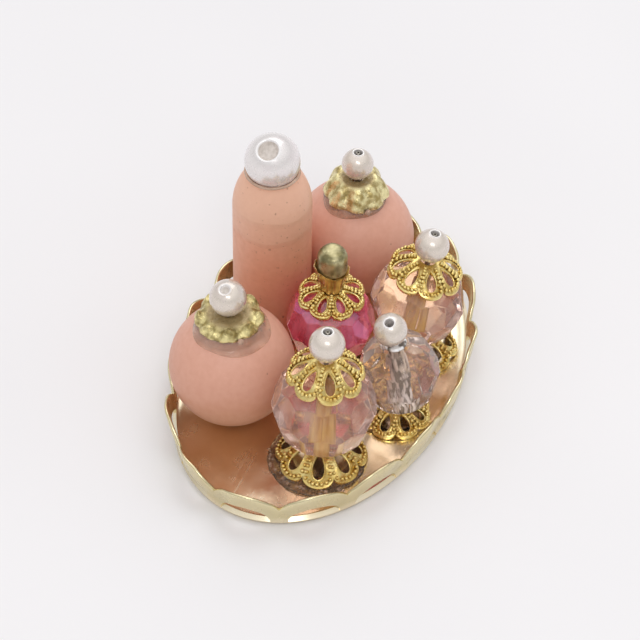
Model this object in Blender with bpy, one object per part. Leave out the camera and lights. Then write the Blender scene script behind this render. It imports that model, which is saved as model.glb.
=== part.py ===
"""Dolls' house vanity tray: seven scent bottles glued to an oval lace-edged tray.

Blender 4.5 script, +Z up. The origin is the centre of the tray's flat underside, +X runs
along the tray's long axis and -Y is the side of the short bottles. Dimensions below are in
millimetres, and add_piece scales every shape to metres.

Run it with: blender --background --python part.py
"""

import math
from itertools import product

import bmesh
import bpy
import numpy as np
from mathutils import Matrix, Vector

MM = 0.001
GAP = 0.05  # clearance left between neighbouring pieces
SMOOTH_ANGLE = math.radians(38)
FRONT = 201.3  # degrees round from +X: the side of each bottle that its caps and pearls turn to

# Tray
TRAY_HALF_LENGTH = 16.6
TRAY_HALF_WIDTH = 10.95
TRAY_FLOOR = 0.4
TRAY_SHEET = 0.36
TRAY_FLARE = 0.5
SCALLOPS = 16
SCALLOP_COLUMNS = 6
SCALLOP_PEAK = 3.4
SCALLOP_NOTCH = 1.85
WINDOW_SILL = 0.4
WINDOW_HEIGHT = 1.45

# Beads, caps and pins
PETALS = 8
CAP_SHEET = 0.28
CAP_HOLE = 0.6
PIN_RADIUS = 0.2
PEARL_HOLE = 0.35
BEAD_BORE = 0.6
BEAD_END = 0.93  # height of a cut bead's flat end, as a share of its half height
FLOOR = TRAY_FLOOR + GAP

GOLD = ("gold_filigree", (0.80, 0.60, 0.22, 1), 1.0, 0.25)
PALE_GOLD = ("pale_gold_tray", (0.78, 0.72, 0.55, 1), 1.0, 0.28)
ANTIQUE = ("antique_brass", (0.45, 0.40, 0.20, 1), 1.0, 0.40)
STEEL = ("grey_pin", (0.45, 0.43, 0.40, 1), 1.0, 0.35)
PEACH = ("peach_bead", (0.78, 0.42, 0.32, 1), 0.0, 0.45)
PEARL = ("pearl", (0.85, 0.80, 0.77, 1), 0.0, 0.18)
PINK_GLASS = ("pale_pink_glass", (0.85, 0.62, 0.58, 0.5), 0.0, 0.05)
ROSE_GLASS = ("rose_glass", (0.70, 0.08, 0.16, 0.8), 0.0, 0.08)
CRYSTAL = ("crystal_glass", (0.88, 0.84, 0.84, 0.4), 0.0, 0.03)
AMBER = ("amber_glass", (0.62, 0.36, 0.06, 0.8), 0.0, 0.10)
SILVER = ("silver_liner", (0.80, 0.80, 0.80, 1), 1.0, 0.15)
GLUE = ("clear_glue", (0.55, 0.48, 0.46, 0.4), 0.0, 0.12)


def clear_scene():
    for old in list(bpy.data.objects):
        bpy.data.objects.remove(old)


def material_of(finish):
    name, colour, metallic, roughness = finish
    material = bpy.data.materials.get(name)
    if material:
        return material
    material = bpy.data.materials.new(name)
    material.use_nodes = True
    surface = material.node_tree.nodes["Principled BSDF"]
    surface.inputs["Base Color"].default_value = (*colour[:3], 1)
    surface.inputs["Alpha"].default_value = colour[3]
    surface.inputs["Metallic"].default_value = metallic
    surface.inputs["Roughness"].default_value = roughness
    return material


def add_piece(name, shape, finish, frame=None, centre=(0, 0, 0), tilt=(0, 0)):
    """Names a shape drawn in millimetres and places it in its frame.

    tilt is (degrees, direction): how far the piece's axis tips, and which way round from +X.
    """
    bmesh.ops.scale(shape, vec=(MM, MM, MM), verts=shape.verts)
    bmesh.ops.recalc_face_normals(shape, faces=shape.faces)
    mesh = bpy.data.meshes.new(name)
    shape.to_mesh(mesh)
    shape.free()
    mesh.materials.append(material_of(finish))
    mesh.shade_smooth()
    mesh.set_sharp_from_angle(angle=SMOOTH_ANGLE)
    piece = bpy.data.objects.new(name, mesh)
    bpy.context.scene.collection.objects.link(piece)
    piece.parent = frame
    piece.location = Vector(centre) * MM
    angle, direction = map(math.radians, tilt)
    hinge = Vector((-math.sin(direction), math.cos(direction), 0))
    piece.rotation_euler = Matrix.Rotation(angle, 3, hinge).to_euler()
    return piece


def add_axis(name, foot, lean=(0, 0)):
    """An empty whose Z is a bottle's axis. lean is the axis's sideways run per unit of height."""
    axis = bpy.data.objects.new(name, None)
    bpy.context.scene.collection.objects.link(axis)
    axis.location = Vector((*foot, 0)) * MM
    upright = Vector((0, 0, 1))
    axis.rotation_euler = upright.rotation_difference(Vector((*lean, 1))).to_euler()
    return axis


def polar(radius, degrees, height):
    angle = math.radians(degrees)
    return (radius * math.cos(angle), radius * math.sin(angle), height)


def turned(profile, sides, bored=True):
    """(radius, height) points turned about Z. A bored profile is a loop that clears the axis."""
    shape = bmesh.new()
    rings = []
    for radius, height in profile:
        if radius == 0:
            rings.append([shape.verts.new((0, 0, height))] * sides)
            continue
        spots = [polar(radius, 360 * i / sides, height) for i in range(sides)]
        rings.append([shape.verts.new(spot) for spot in spots])
    if bored:
        rings.append(rings[0])
    for lower, upper in zip(rings, rings[1:]):
        for i in range(sides):
            j = (i + 1) % sides
            corners = dict.fromkeys((lower[i], lower[j], upper[j], upper[i]))
            if len(corners) > 2:
                shape.faces.new(corners)
    return shape


def sheet(outer, inner, missing=(), centres=None):
    """A closed skin between two grids of rows and wrapping columns, without the missing cells.

    centres, if given, are the outer and inner points that close the middle of the first row.
    """
    shape = bmesh.new()
    skins = [[[shape.verts.new(p) for p in row] for row in skin] for skin in (outer, inner)]
    rows, columns = len(outer) - 1, len(outer[0])

    def kept(row, column):
        return 0 <= row < rows and (row, column % columns) not in missing

    for row, column in product(range(rows), range(columns)):
        if not kept(row, column):
            continue
        corners = [(row, column), (row, column + 1), (row + 1, column + 1), (row + 1, column)]
        beside = [(row - 1, column), (row, column + 1), (row + 1, column), (row, column - 1)]
        upper, lower = ([skin[r][c % columns] for r, c in corners] for skin in skins)
        shape.faces.new(upper)
        shape.faces.new(lower[::-1])
        for i, neighbour in enumerate(beside):
            j = (i + 1) % 4
            closed_centre = centres and neighbour[0] < 0
            if not kept(*neighbour) and not closed_centre:
                shape.faces.new((upper[j], upper[i], lower[i], lower[j]))
    if centres:
        for skin, point, turn in zip(skins, centres, (1, -1)):
            middle = shape.verts.new(point)
            for column in range(columns):
                edge = (skin[0][(column + 1) % columns], skin[0][column], middle)
                shape.faces.new(edge[::turn])
    loose = [vertex for vertex in shape.verts if not vertex.link_faces]
    bmesh.ops.delete(shape, geom=loose, context="VERTS")
    return shape


# Tray


def oval_points(count):
    """count (point, outward normal) pairs at equal steps along the tray's outline, from +X."""
    dense = np.linspace(0, 2 * math.pi, 4001)
    line = np.stack([TRAY_HALF_LENGTH * np.cos(dense), TRAY_HALF_WIDTH * np.sin(dense)])
    run = np.concatenate([[0], np.cumsum(np.linalg.norm(np.diff(line), axis=0))])
    angles = np.interp(np.arange(count) / count * run[-1], run, dense)
    pairs = []
    for angle in angles:
        point = Vector((TRAY_HALF_LENGTH * math.cos(angle), TRAY_HALF_WIDTH * math.sin(angle)))
        normal = Vector((TRAY_HALF_WIDTH * math.cos(angle), TRAY_HALF_LENGTH * math.sin(angle)))
        pairs.append((point, normal.normalized()))
    return pairs


def wall_flare(height):
    rise = max(0, height - WINDOW_SILL) / (SCALLOP_PEAK - WINDOW_SILL)
    return TRAY_FLARE * rise


def tray_shape():
    """Floor and flared wall as one sheet. Each scallop has a half-moon window above its sill."""
    columns = SCALLOPS * SCALLOP_COLUMNS
    half = SCALLOP_COLUMNS // 2
    blunt_end = 0.3
    outer, inner = [[] for _ in range(5)], [[] for _ in range(5)]
    missing = set()
    for column, (point, normal) in enumerate(oval_points(columns)):
        step = (column + half) % SCALLOP_COLUMNS - half
        across = step / half
        rim = SCALLOP_NOTCH + (SCALLOP_PEAK - SCALLOP_NOTCH) * (1 - across**2)
        lintel = WINDOW_SILL + blunt_end + (WINDOW_HEIGHT - blunt_end) * (1 - across**2) ** 0.8
        lintel = min(lintel, rim - 0.6)
        levels = [
            (-0.6, 0, -0.75, TRAY_FLOOR),
            (-0.3, 0, -0.5, TRAY_FLOOR),
            (0, WINDOW_SILL * 0.6, -TRAY_SHEET, WINDOW_SILL + 0.15),
            (wall_flare(lintel), lintel, wall_flare(lintel) - TRAY_SHEET, lintel),
            (wall_flare(rim), rim, wall_flare(rim) - TRAY_SHEET, rim),
        ]
        for row, (out_offset, out_height, in_offset, in_height) in enumerate(levels):
            outer[row].append((*(point + normal * out_offset), out_height))
            inner[row].append((*(point + normal * in_offset), in_height))
        # A window spans the columns between the two nearest each notch.
        if -half + 1 <= step < half - 1:
            missing.add((2, column))
    return sheet(outer, inner, missing, centres=((0, 0, 0), (0, 0, TRAY_FLOOR)))


# Bead caps


def filigree_cap(radius, rise, phase):
    """A pierced eight-petal bead cap, dished downwards. Its origin is the plane of its rim.

    A petal's tip points to phase degrees. rise is the height of the crown above the rim.
    """
    pitch = 360 / PETALS
    outer, inner, missing = [[] for _ in range(4)], [[] for _ in range(4)], set()
    for petal in range(PETALS):
        for side, reach in ((-0.5, 0.86), (-0.2, 1.0), (0.2, 1.0)):
            degrees = phase + pitch * (petal + side)
            for row, share in enumerate((CAP_HOLE / radius, 0.42, 0.76, reach)):
                dome = rise * (1 - max(share - 0.25, 0) ** 1.6 / 0.75**1.6)
                outer[row].append(polar(radius * share, degrees, dome))
                inner[row].append(polar(radius * share, degrees, dome - CAP_SHEET))
        missing.add((1, petal * 3 + 1))
    return sheet(outer, inner, missing)


def wavy_cap(radius, rise, phase):
    """A plain bead cap with eight soft lobes. Its origin is the plane of its rim."""
    pitch = 360 / PETALS
    wave = 0.16
    outer, inner = [[] for _ in range(4)], [[] for _ in range(4)]
    for column in range(PETALS * 3):
        degrees = phase + pitch * column / 3
        lobe = math.cos(2 * math.pi * column / 3)
        edge = radius * (1 + 0.05 * lobe)
        rows = ((CAP_HOLE, rise), (radius * 0.42, rise * 0.95), (radius * 0.76, rise * 0.5))
        for row, (out, height) in enumerate((*rows, (edge, wave + wave * lobe))):
            outer[row].append(polar(out, degrees, height + CAP_SHEET))
            inner[row].append(polar(out, degrees, height))
    return sheet(outer, inner)


# Beads and pearls


def round_bead(radius, hole=PEARL_HOLE, sides=12):
    """A ball with a through hole along Z, centred on the origin."""
    start = math.asin(hole / radius)
    turns = sides // 2
    angles = [start + (math.pi - 2 * start) * i / turns for i in range(turns + 1)]
    return turned([(radius * math.sin(a), -radius * math.cos(a)) for a in angles], sides)


def cut_away(shape, distance, normal):
    """Cuts the shape with a plane, keeps the side of the origin and closes the cut."""
    every = [*shape.verts, *shape.edges, *shape.faces]
    point = normal * distance
    bmesh.ops.bisect_plane(shape, geom=every, plane_co=point, plane_no=normal, clear_outer=True)
    rim = [edge for edge in shape.edges if edge.is_boundary]
    bmesh.ops.edgeloop_fill(shape, edges=rim)


def cut_bead(radius, half_height, facets, bore=BEAD_BORE):
    """A faceted bead with a through bore, centred on the origin: four staggered rows of facets."""
    shape = bmesh.new()
    bmesh.ops.create_cube(shape, size=2.4)
    depth = 0.965
    for row, latitude in enumerate((-54, -17, 17, 54)):
        for i in range(facets):
            longitude = 360 * (i + 0.5 * (row % 2)) / facets
            slope = math.radians(latitude)
            normal = Vector(polar(math.cos(slope), longitude, math.sin(slope)))
            cut_away(shape, depth, normal)
    for side in (-1, 1):
        cut_away(shape, BEAD_END, Vector((0, 0, side)))
    bmesh.ops.scale(shape, vec=(radius, radius, half_height), verts=shape.verts)
    open_bore(shape, bore)
    return shape


def open_bore(shape, bore):
    """Replaces a bead's two flat ends with rings round a through bore."""
    shape.normal_update()
    rings = []
    for side in (-1, 1):
        end = max(shape.faces, key=lambda face: side * face.calc_center_median().z)
        corners = sorted(end.verts, key=lambda vertex: math.atan2(vertex.co.y, vertex.co.x))
        bmesh.ops.delete(shape, geom=[end], context="FACES_ONLY")
        angles = [math.degrees(math.atan2(c.co.y, c.co.x)) for c in corners]
        ring = [shape.verts.new(polar(bore, angle, corners[0].co.z)) for angle in angles]
        for i in range(len(ring)):
            j = (i + 1) % len(ring)
            shape.faces.new((corners[i], corners[j], ring[j], ring[i]))
        rings.append(ring)
    lower, upper = rings
    # The two ends' rings have the same count, and the nearest corner starts each one.
    start = min(range(len(upper)), key=lambda i: (upper[i].co.xy - lower[0].co.xy).length)
    for i in range(len(lower)):
        j = (i + 1) % len(lower)
        k, m = (start + i) % len(upper), (start + j) % len(upper)
        shape.faces.new((lower[i], lower[j], upper[m], upper[k]))


# Pins and glue


def head_pin(low, high, head=0.0):
    """A pin along Z, with a flat head at its lower end where head is its radius."""
    head_height = 0.15
    foot = [(0, low), (head, low), (head, low + head_height)] if head else [(0, low)]
    start = low + head_height if head else low
    profile = [*foot, (PIN_RADIUS, start), (PIN_RADIUS, high), (0, high)]
    return turned(profile, 8, bored=False)


def glue_pad(radius, height=0.3):
    return turned([(0, 0), (radius, 0), (radius * 0.8, height), (0, height)], 14, bored=False)


def glue_fillet(ball_radius, ball_height):
    """The ring of glue in the gap between a ball and the floor, clear of both."""
    reach = 1.9

    def under_ball(radius):
        return ball_height - math.sqrt(ball_radius**2 - radius**2) - GAP

    low = FLOOR - 0.02
    profile = [(0.9, low), (reach, low), (1.75, under_ball(1.75)), (1.1, under_ball(1.1))]
    return turned(profile, 14)


def glue_film(ball_radius, reach, extra, toward):
    """A thin cap of glue on a ball's crown, centred on the ball. It runs extra further one way."""
    thickness, clearance, rows, sides = 0.14, 0.09, 5, 24
    outer, inner = [[] for _ in range(rows)], [[] for _ in range(rows)]
    first = math.asin(CAP_HOLE / ball_radius)
    for column in range(sides):
        degrees = 360 * column / sides
        pull = max(0, math.cos(math.radians(degrees - toward))) ** 2
        last = math.asin((reach + extra * pull) / ball_radius)
        for row in range(rows):
            angle = first + (last - first) * row / (rows - 1)
            for skin, lift in ((outer, clearance + thickness), (inner, clearance)):
                size = ball_radius + lift
                height = size * math.cos(angle)
                skin[row].append(polar(size * math.sin(angle), degrees, height))
    return sheet(outer, inner)


# Bottles


def add_tall_bottle():
    axis = add_axis("tall_bottle_axis", (3.94, 5.99), (0.005, -0.012))
    radius, bore, straight, lip = 3.1, 0.7, 13.0, 16.2
    body = [
        (bore, FLOOR),
        (radius - 0.2, FLOOR),
        (radius, FLOOR + 0.25),
        (radius, straight),
        (radius - 0.14, straight + 1.0),
        (radius - 0.36, straight + 1.8),
        (radius - 0.7, straight + 2.5),
        (2.05, lip),
        (1.86, lip),
        (1.25, lip - 0.75),
        (bore, lip - 1.3),
    ]
    add_piece("tall_bottle_body", turned(body, 24), PEACH, axis)
    stopper = round_bead(2.18, hole=0.75, sides=20)
    add_piece("tall_bottle_stopper", stopper, PEARL, axis, (0, 0, 17.45), (28, FRONT - 20))
    seam = [(1.88, 16.25), (2.15, 16.25), (2.2, 16.42), (2.14, 16.6), (2.07, 16.6), (1.98, 16.42)]
    add_piece("tall_bottle_neck_glue", turned(seam, 20), GLUE, axis)
    fillet = [(3.15, FLOOR + 0.27), (3.15, FLOOR), (3.5, FLOOR), (3.2, FLOOR + 0.4)]
    add_piece("tall_bottle_base_glue", turned(fillet, 24), GLUE, axis)


def add_ball_bottle(name, foot, lean, cap, pearl, pin_top, film):
    """A ball bead under a wavy cap and a pearl.

    cap and pearl are each (radius, height), and film is the glue's (reach, extra reach, side).
    """
    axis = add_axis(name + "_axis", foot, lean)
    ball = 4.9
    centre = FLOOR + ball
    cap_radius, cap_height = cap
    pearl_size, pearl_height = pearl
    body = round_bead(ball, hole=0.45, sides=24)
    add_piece(name + "_body", body, PEACH, axis, (0, 0, centre))
    rise = pearl_height - pearl_size - GAP - CAP_SHEET - cap_height
    cap_shape = wavy_cap(cap_radius, rise, FRONT)
    add_piece(name + "_cap", cap_shape, ANTIQUE, axis, (0, 0, cap_height))
    add_piece(name + "_cap_glue", glue_film(ball, *film), GLUE, axis, (0, 0, centre))
    tip = (20, FRONT - 20) if pin_top < pearl_height else (0, 0)
    stopper = round_bead(pearl_size)
    add_piece(name + "_stopper", stopper, PEARL, axis, (0, 0, pearl_height), tip)
    add_piece(name + "_pin", head_pin(1.0, pin_top), STEEL, axis)
    add_piece(name + "_base_glue", glue_fillet(ball, centre), GLUE, add_axis(name + "_foot", foot))


def add_foot(name, place, radius, rise, phase, pad=2.2):
    """A filigree foot flat on the floor, with a pad of glue under its dome."""
    ground = add_axis(name + "_ground", place)
    cap = filigree_cap(radius, rise, phase)
    add_piece(name + "_foot", cap, GOLD, ground, (0, 0, FLOOR + CAP_SHEET))
    if pad:
        add_piece(name + "_base_glue", glue_pad(pad), GLUE, ground, (0, 0, FLOOR))
    return ground


def add_rose_bottle():
    place = (1.07, -0.07)
    axis = add_axis("rose_bottle_axis", place, (0.007, -0.019))
    add_foot("rose_bottle", place, 3.0, 0.85, FRONT)
    radius = 3.42
    add_piece("rose_bottle_body", cut_bead(radius, radius, 10), ROSE_GLASS, axis, (0, 0, 5.0))
    collar = filigree_cap(2.7, 0.75, FRONT + 22)
    add_piece("rose_bottle_collar", collar, GOLD, axis, (0, 0, 7.85))
    cone = [(0.35, 8.65), (0.85, 8.65), (1.2, 10.6), (0.35, 10.6)]
    add_piece("rose_bottle_stopper_cone", turned(cone, 14), AMBER, axis)
    bullet = [(0, 11.6), (0.35, 11.6), (0.35, 10.65), (1.2, 10.65), (1.25, 11.6)]
    bullet += [(1.1, 12.15), (0.7, 12.5), (0, 12.6)]
    finial = turned(bullet, 14, bored=False)
    add_piece("rose_bottle_stopper_finial", finial, ANTIQUE, axis)
    add_piece("rose_bottle_pin", head_pin(0.95, 11.5), STEEL, axis)


def add_front_clear_bottle():
    place = (-8.68, -3.19)
    axis = add_axis("front_clear_axis", place, (0.012, -0.031))
    ground = add_foot("front_clear", place, 3.6, 1.75, FRONT - 5, pad=0)
    radius = 3.9
    add_piece("front_clear_body", cut_bead(radius, radius, 10), PINK_GLASS, axis, (0, 0, 6.2))
    collar = filigree_cap(3.0, 1.65, FRONT + 8)
    add_piece("front_clear_collar", collar, GOLD, axis, (0, 0, 9.5))
    add_piece("front_clear_stopper", round_bead(1.37), PEARL, axis, (0, 0, 12.7))
    add_piece("front_clear_pin", head_pin(1.3, 14.0, head=0.8), STEEL, axis)
    puddle = [(3.66, 0), (4.15, 0), (4.0, 0.2), (3.66, 0.3)]
    add_piece("front_clear_base_glue", turned(puddle, 24), GLUE, ground, (0, 0, FLOOR))


def add_right_clear_bottle():
    axis = add_axis("right_clear_axis", (4.56, -5.09), (0.062, -0.158))
    add_foot("right_clear", (4.95, -6.09), 3.3, 1.45, FRONT - 5)
    radius = 3.6
    add_piece("right_clear_body", cut_bead(radius, radius, 10), PINK_GLASS, axis, (0, 0, 6.05))
    collar = filigree_cap(3.0, 1.2, FRONT + 8)
    add_piece("right_clear_collar", collar, GOLD, axis, (0, 0, 9.15))
    add_piece("right_clear_stopper", round_bead(1.35), PEARL, axis, (0, 0, 11.9))
    add_piece("right_clear_pin", head_pin(2.8, 13.1), STEEL, axis)


def add_crystal_bottle():
    axis = add_axis("crystal_bottle_axis", (-1.81, -7.56), (-0.124, 0.07))
    add_foot("crystal_bottle", (-2.54, -6.97), 2.85, 0.95, FRONT - 22.5, pad=1.9)
    radius, half_height, bore = 3.05, 3.55, 0.7
    body = cut_bead(radius, half_height, 10, bore)
    add_piece("crystal_bottle_body", body, CRYSTAL, axis, (0, 0, 5.35))
    liner = [(0.4, 2.15), (0.56, 2.15), (0.56, 8.5), (0.4, 8.5)]
    add_piece("crystal_bottle_liner", turned(liner, 14), SILVER, axis)
    crimp = [(0.4, 8.72), (0.8, 8.72), (0.9, 8.87), (0.8, 9.02), (0.4, 9.02)]
    add_piece("crystal_bottle_crimp", turned(crimp, 14), SILVER, axis)
    stopper = round_bead(1.3)
    add_piece("crystal_bottle_stopper", stopper, PEARL, axis, (-0.07, 0.19, 10.45), (15, FRONT))
    add_piece("crystal_bottle_pin", head_pin(2.3, 8.95), STEEL, axis)


def build():
    clear_scene()
    add_piece("tray", tray_shape(), PALE_GOLD)
    add_tall_bottle()
    back_film, front_film = (2.6, 0.45, FRONT - 45), (2.85, 0.35, FRONT + 40)
    back, front = (10.57, 1.65), (-6.3, 5.02)
    add_ball_bottle("back_ball", back, (0.011, -0.029), (2.5, 10.0), (1.28, 13.05), 14.25, back_film)
    add_ball_bottle("front_ball", front, (-0.007, 0.019), (2.57, 10.1), (1.43, 12.4), 10.85, front_film)
    add_rose_bottle()
    add_front_clear_bottle()
    add_right_clear_bottle()
    add_crystal_bottle()


build()
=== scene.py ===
"""Looks of the dolls' house vanity tray: seven scent bottles glued to an oval lace-edged tray.

Blender 4.5 script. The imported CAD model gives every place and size. Shapes are drawn in
millimetres round their own axis, and add_piece scales them to metres.
"""

import math
import random
from itertools import product
from math import cos, pi, radians, sin

import bmesh
import bpy
import numpy as np
from mathutils import Matrix, Vector, noise


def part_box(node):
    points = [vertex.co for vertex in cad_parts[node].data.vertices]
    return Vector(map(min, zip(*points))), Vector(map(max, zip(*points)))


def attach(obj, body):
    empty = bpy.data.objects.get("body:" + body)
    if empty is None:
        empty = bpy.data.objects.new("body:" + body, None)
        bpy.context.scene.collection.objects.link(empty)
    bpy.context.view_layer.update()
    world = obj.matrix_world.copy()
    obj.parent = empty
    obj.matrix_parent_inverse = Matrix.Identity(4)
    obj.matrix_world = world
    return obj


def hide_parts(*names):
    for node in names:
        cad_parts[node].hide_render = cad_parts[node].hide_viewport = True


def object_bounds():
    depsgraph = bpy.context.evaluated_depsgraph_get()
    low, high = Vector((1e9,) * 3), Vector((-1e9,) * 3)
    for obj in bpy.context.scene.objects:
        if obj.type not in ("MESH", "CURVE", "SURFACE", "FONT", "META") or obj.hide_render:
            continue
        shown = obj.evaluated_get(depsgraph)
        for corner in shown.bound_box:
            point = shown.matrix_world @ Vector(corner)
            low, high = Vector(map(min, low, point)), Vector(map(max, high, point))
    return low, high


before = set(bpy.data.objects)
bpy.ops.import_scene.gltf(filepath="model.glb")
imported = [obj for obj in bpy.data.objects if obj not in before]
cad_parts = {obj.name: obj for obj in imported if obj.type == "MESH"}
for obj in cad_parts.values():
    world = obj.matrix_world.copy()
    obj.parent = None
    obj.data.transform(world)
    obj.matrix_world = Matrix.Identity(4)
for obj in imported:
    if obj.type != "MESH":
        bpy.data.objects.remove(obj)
cad_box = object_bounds()

MM = 0.001
SMOOTH_ANGLE = radians(38)
FRONT = 201.3  # degrees round from +X: the side that the pearls and the camera turn to

# Tray
SCALLOPS = 16
SCALLOP_COLUMNS = 24
TRAY_FLOOR = 0.4  # the floor's top, above the underside
TRAY_SHEET = 0.3
TRAY_FLARE = 0.5
WINDOW_SILL = 0.4
WINDOW_HEIGHT = 1.5
WINDOW_SPAN = 0.76  # the window's width as a share of its scallop's
SCALLOP_NOTCH = 0.54  # a notch's height as a share of a peak's
WINDOW_END = 0.16  # the window's height at its two ends
RIM_BAND = 0.55  # the least metal between a window and the rim
BULGE = 0.28  # how far a scallop swells outward
WALL_DENT = 0.09  # how far the wall's slight dents go in and out
DENTS_ROUND = 9
FOLD_OUT, FOLD_UP = 0.5, 0.38  # the bend from the underside into the wall
FOLD_ROWS, WINDOW_CELLS = 4, 3  # steps of the wall's section through the bend and the windows
INNER_FOLD = 0.75  # where the floor starts to turn up, inward of the wall
# The dished floor's section near the wall, as (offset from the wall, rise).
FLOOR_DISH = ((-4.5, 0), (-2.4, 0.005), (-1.7, 0.02), (-1.2, 0.055), (-0.85, 0.12))

# Beads and caps
PETALS = 8
LEAF = 0.17  # thickness of a bead cap's sheet
CAP_HOLE = 0.6
HUB = 0.37  # where a cap's petals start, as a share of its radius
WIRE_WIDTH, WIRE_LIFT = 0.14, 0.06  # the raised edge round a petal's opening
PEARL_HOLE = 0.35
BEAD_BORE = 0.6
CRYSTAL_BORE = 0.62
BALL_BORE = 0.45
BEAD_END = 0.93  # the height of a unit bead's flat ends
FACETS = 10  # in each row of a cut bead
FACET_LATITUDES = (-54, -17, 17, 54)
FACET_DEPTH = 0.965  # from a unit bead's centre
PIN_RADIUS = 0.2

# Camera: a three-quarter view from above, far enough away to keep its perspective flat
CAMERA_ELEVATION = 45
CAMERA_DISTANCE = 0.2  # metres
CAMERA_LENS = 140.6
CAMERA_TARGET = (2.69, 1.35, 3.0)

# Light: two narrow panes whose glints show on the pearls, and a wide one from behind and above.
# Each is (name, direction round from +X, elevation, distance in metres, size in metres, watts).
SOFTBOXES = (
    ("left_pane", FRONT - 8, 52, 0.8, (0.13, 0.2), 0.36),
    ("right_pane", FRONT + 12, 48, 0.8, (0.13, 0.2), 0.36),
    ("ceiling", FRONT + 165, 55, 1.2, (0.9, 0.9), 3.0),
)
# The studio's brightness over the height of the direction looked in, 0 level and 1 straight up.
WORLD_LEVELS = ((0.0, 0.9), (0.1, 0.95), (0.3, 0.62), (0.5, 0.86), (0.75, 1.2), (1.0, 1.25))
WORLD_STRENGTH = 0.76
FLOOR_HALF = 0.6  # metres
FLOOR_GAP = 0.02  # keeps the paper off the tray's underside


# Materials


def rgb(red, green, blue):
    """A display colour, 0 to 255 a channel, as the linear values that shaders take."""
    shares = [channel / 255 for channel in (red, green, blue)]
    return (*(s / 12.92 if s < 0.04 else ((s + 0.055) / 1.055) ** 2.4 for s in shares), 1)


class Finish:
    """A material being built: a Principled surface and short ways to add nodes to it."""

    def __init__(self, name, **values):
        self.material = bpy.data.materials.new(name)
        self.material.use_nodes = True
        self.tree = self.material.node_tree
        self.surface = self.tree.nodes["Principled BSDF"]
        self.output = self.tree.nodes["Material Output"]
        place = self.tree.nodes.new("ShaderNodeTexCoord")
        self.place = place.outputs["Object"]
        self.drive(**values)

    def set(self, node, inputs):
        """Links each input, given by name or number, to a socket, or gives it a plain value."""
        for key, value in inputs.items():
            if isinstance(value, bpy.types.NodeSocket):
                self.tree.links.new(value, node.inputs[key])
            else:
                node.inputs[key].default_value = value

    def add(self, kind, inputs, **settings):
        node = self.tree.nodes.new("ShaderNode" + kind)
        for key, value in settings.items():
            setattr(node, key, value)
        self.set(node, inputs)
        return node

    def mapped(self, stretch=(1, 1, 1), turn=(0, 0, 0)):
        inputs = {"Vector": self.place, "Scale": stretch, "Rotation": turn}
        return self.add("Mapping", inputs).outputs[0]

    def noise(self, size, detail=3, stretch=(1, 1, 1), turn=(0, 0, 0)):
        """Cloudy noise, 0 to 1, whose blobs are size millimetres wide."""
        vector = self.mapped(stretch, turn)
        inputs = {"Vector": vector, "Scale": 1 / (size * MM), "Detail": detail}
        return self.add("TexNoise", inputs).outputs["Fac"]

    def rescale(self, value, low, high, to_low=0.0, to_high=1.0):
        names = ("Value", "From Min", "From Max", "To Min", "To Max")
        return self.add("MapRange", dict(zip(names, (value, low, high, to_low, to_high)))).outputs[0]

    def clouds(self, size, low=0.0, high=1.0, spread=0.2, **pattern):
        """Noise that runs from low to high while the raw noise is within spread of a half."""
        return self.rescale(self.noise(size, **pattern), 0.5 - spread, 0.5 + spread, low, high)

    def math(self, operation, first, second):
        """One operation of the Math node on two numbers or sockets."""
        return self.add("Math", {0: first, 1: second}, operation=operation).outputs[0]

    def mix(self, share, first, second):
        """A blend of two colours. The node's colour inputs are 6 and 7, its colour output is 2."""
        inputs = {"Factor": share, 6: first, 7: second}
        return self.add("Mix", inputs, data_type="RGBA").outputs[2]

    def height(self):
        return self.add("SeparateXYZ", {"Vector": self.place}).outputs["Z"]

    def radius(self):
        """Distance from the piece's own axis, in millimetres."""
        flat = self.add("VectorMath", {0: self.place, 1: (1, 1, 0)}, operation="MULTIPLY").outputs[0]
        length = self.add("VectorMath", {0: flat}, operation="LENGTH").outputs["Value"]
        return self.math("DIVIDE", length, MM)

    def tint(self, share, first, second):
        """Colours the surface from first to second as share goes from 0 to 1."""
        self.drive(Base_Color=self.mix(share, first, second))

    def roughen(self, size, low, high):
        """Roughness that drifts from low to high in clouds of this size."""
        self.drive(Roughness=self.clouds(size, low, high))

    def occlusion_shade(self, reach):
        """1 on open faces and 0 in corners narrower than reach millimetres, for painting shade into a
        colour.
        """
        node = self.add("AmbientOcclusion", {"Distance": reach * MM}, samples=4)
        return node.outputs["AO"]

    def bump(self, value, depth):
        """Raises the surface by depth millimetres where value is 1, over the bumps before it."""
        normal = self.surface.inputs["Normal"]
        inputs = {"Height": value, "Distance": depth * MM}
        if normal.is_linked:
            inputs["Normal"] = normal.links[0].from_socket
        self.tree.links.new(self.add("Bump", inputs).outputs[0], normal)

    def relief(self, size, depth, **pattern):
        """Noisy bumps of this size, up to depth millimetres high."""
        self.bump(self.noise(size, **pattern), depth)

    def drive(self, **values):
        """Sets the surface's inputs, each named with _ for its spaces."""
        self.set(self.surface, {key.replace("_", " "): value for key, value in values.items()})

    def let_light_through(self, tint):
        """Lamps shine through this glass with a tint, so that it casts a pale shadow."""
        ray = self.add("LightPath", {}).outputs["Is Shadow Ray"]
        clear = self.add("BsdfTransparent", {"Color": tint}).outputs[0]
        mixed = self.add("MixShader", {0: ray, 1: self.surface.outputs[0], 2: clear})
        self.tree.links.new(mixed.outputs[0], self.output.inputs["Surface"])


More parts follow.
